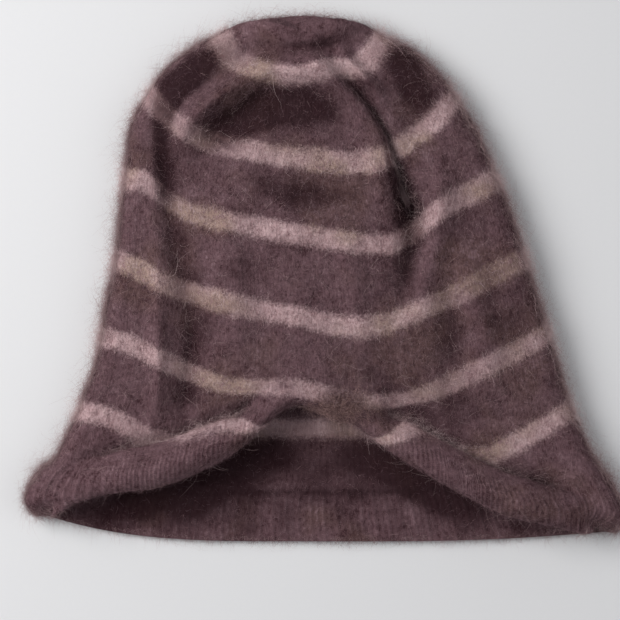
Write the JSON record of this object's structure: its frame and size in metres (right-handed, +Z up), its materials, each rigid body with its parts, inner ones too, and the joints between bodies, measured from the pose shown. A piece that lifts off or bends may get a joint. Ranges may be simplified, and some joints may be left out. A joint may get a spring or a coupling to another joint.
{
  "type": "knit beanie",
  "caption": "Soft bell-shaped pull-on hat in fine brushed knit with narrow stripes and a gathered crown, lying on its back with the front hem turned in",
  "frame": {"origin": "middle of the bounding box of the hat's footprint, on the surface it lies on", "axes": "+X across the hat, the long way of the open hem; +Y from the mouth to the crown; +Z up off the surface, from the back layer to the front layer"},
  "size_m": [0.2988, 0.2648, 0.0308],
  "materials": {
    "main_yarn": "brushed mohair-like knit, matt",
    "rib_yarn": "close ribbed knit, matt",
    "stripe_yarn": "brushed mohair-like knit, matt",
    "seam_yarn": "linked seam yarn, matt"
  },
  "bodies": {
    "root": {"crown_cap": "main_yarn", "main_band_1": "main_yarn", "main_band_2": "main_yarn", "main_band_3": "main_yarn", "main_band_4": "main_yarn", "main_band_5": "main_yarn", "main_band_6": "main_yarn", "hem_rib": "rib_yarn", "cast_on_edge": "rib_yarn", "stripe_1": "stripe_yarn", "stripe_2": "stripe_yarn", "stripe_3": "stripe_yarn", "stripe_4": "stripe_yarn", "stripe_5": "stripe_yarn", "stripe_6": "stripe_yarn", "crown_seam_front_left": "seam_yarn", "crown_seam_front_right": "seam_yarn", "crown_seam_back_right": "seam_yarn", "crown_seam_back_left": "seam_yarn", "crown_closing_yarn": "seam_yarn"}
  },
  "joints": []
}
